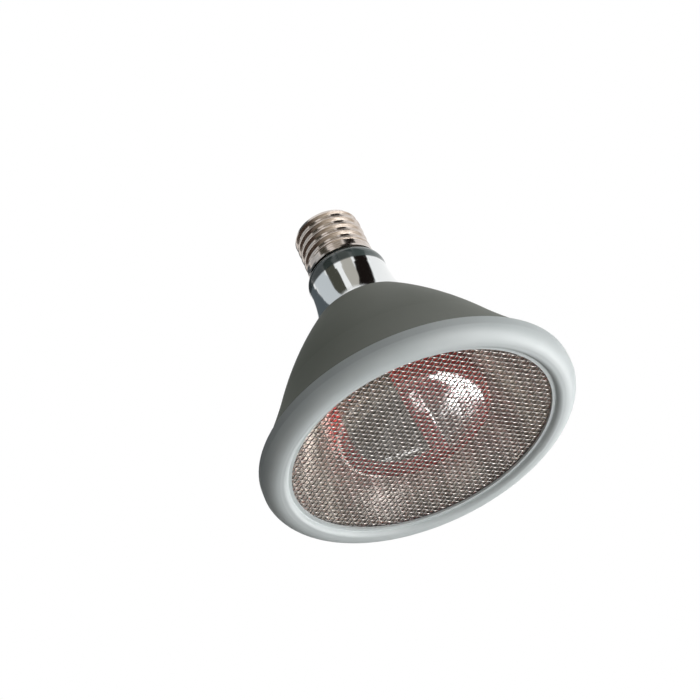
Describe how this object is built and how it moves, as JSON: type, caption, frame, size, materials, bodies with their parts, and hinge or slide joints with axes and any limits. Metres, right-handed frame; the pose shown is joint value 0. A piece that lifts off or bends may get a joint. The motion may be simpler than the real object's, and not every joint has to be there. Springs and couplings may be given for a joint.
{
  "type": "infrared heat lamp bulb",
  "caption": "Reflector heat lamp: red glass bulb on a screw base in a grey domed housing with a meshed front ring.",
  "frame": {"origin": "middle of the front ring's rest face, at the bottom of the bounding box when the lamp stands face down", "axes": "+Z along the lamp's axis from the front ring to the screw base; X and Y square to it"},
  "size_m": [0.121, 0.121, 0.1135],
  "materials": {
    "front_ring_paint": "satin light grey paint",
    "mesh_steel": "bright steel mesh",
    "clamp_steel": "plain zinc-plated steel",
    "housing_paint": "matt dark grey-green heat-proof paint",
    "reflector_mirror": "polished aluminium",
    "bonding_cement": "plain fired cement",
    "lamp_glass": "red glass in front, clear at the neck",
    "silver_film": "aluminised film",
    "stem_glass": "clear lead glass",
    "tungsten": "bare tungsten",
    "shield_metal": "plain sheet",
    "nickel_plate": "nickel-plated brass",
    "basing_cement": "brown basing cement",
    "insulator_glass": "black insulator glass",
    "contact_brass": "plain brass",
    "solder": "plain solder",
    "nickel_wire": "nickel wire",
    "copper_wire": "plated copper wire",
    "support_wire": "molybdenum wire"
  },
  "bodies": {
    "root": {"front_rim": "front_ring_paint", "mesh_guard": "mesh_steel", "mesh_clamp_ring": "clamp_steel", "housing_shell": "housing_paint", "reflector": "reflector_mirror", "bonding_ring": "bonding_cement", "glass_envelope": "lamp_glass", "mirror_coat": "silver_film", "stem_glass": "stem_glass", "filament": "tungsten", "heat_shield": "shield_metal", "screw_shell": "nickel_plate", "cap_cement": "basing_cement", "cap_insulator": "insulator_glass", "centre_contact": "contact_brass", "centre_solder": "solder", "inner_lead_a": "nickel_wire", "inner_lead_b": "nickel_wire", "lead_centre": "copper_wire", "lead_side": "copper_wire", "support_wire_1": "support_wire", "support_wire_2": "support_wire", "support_wire_3": "support_wire"}
  },
  "joints": []
}
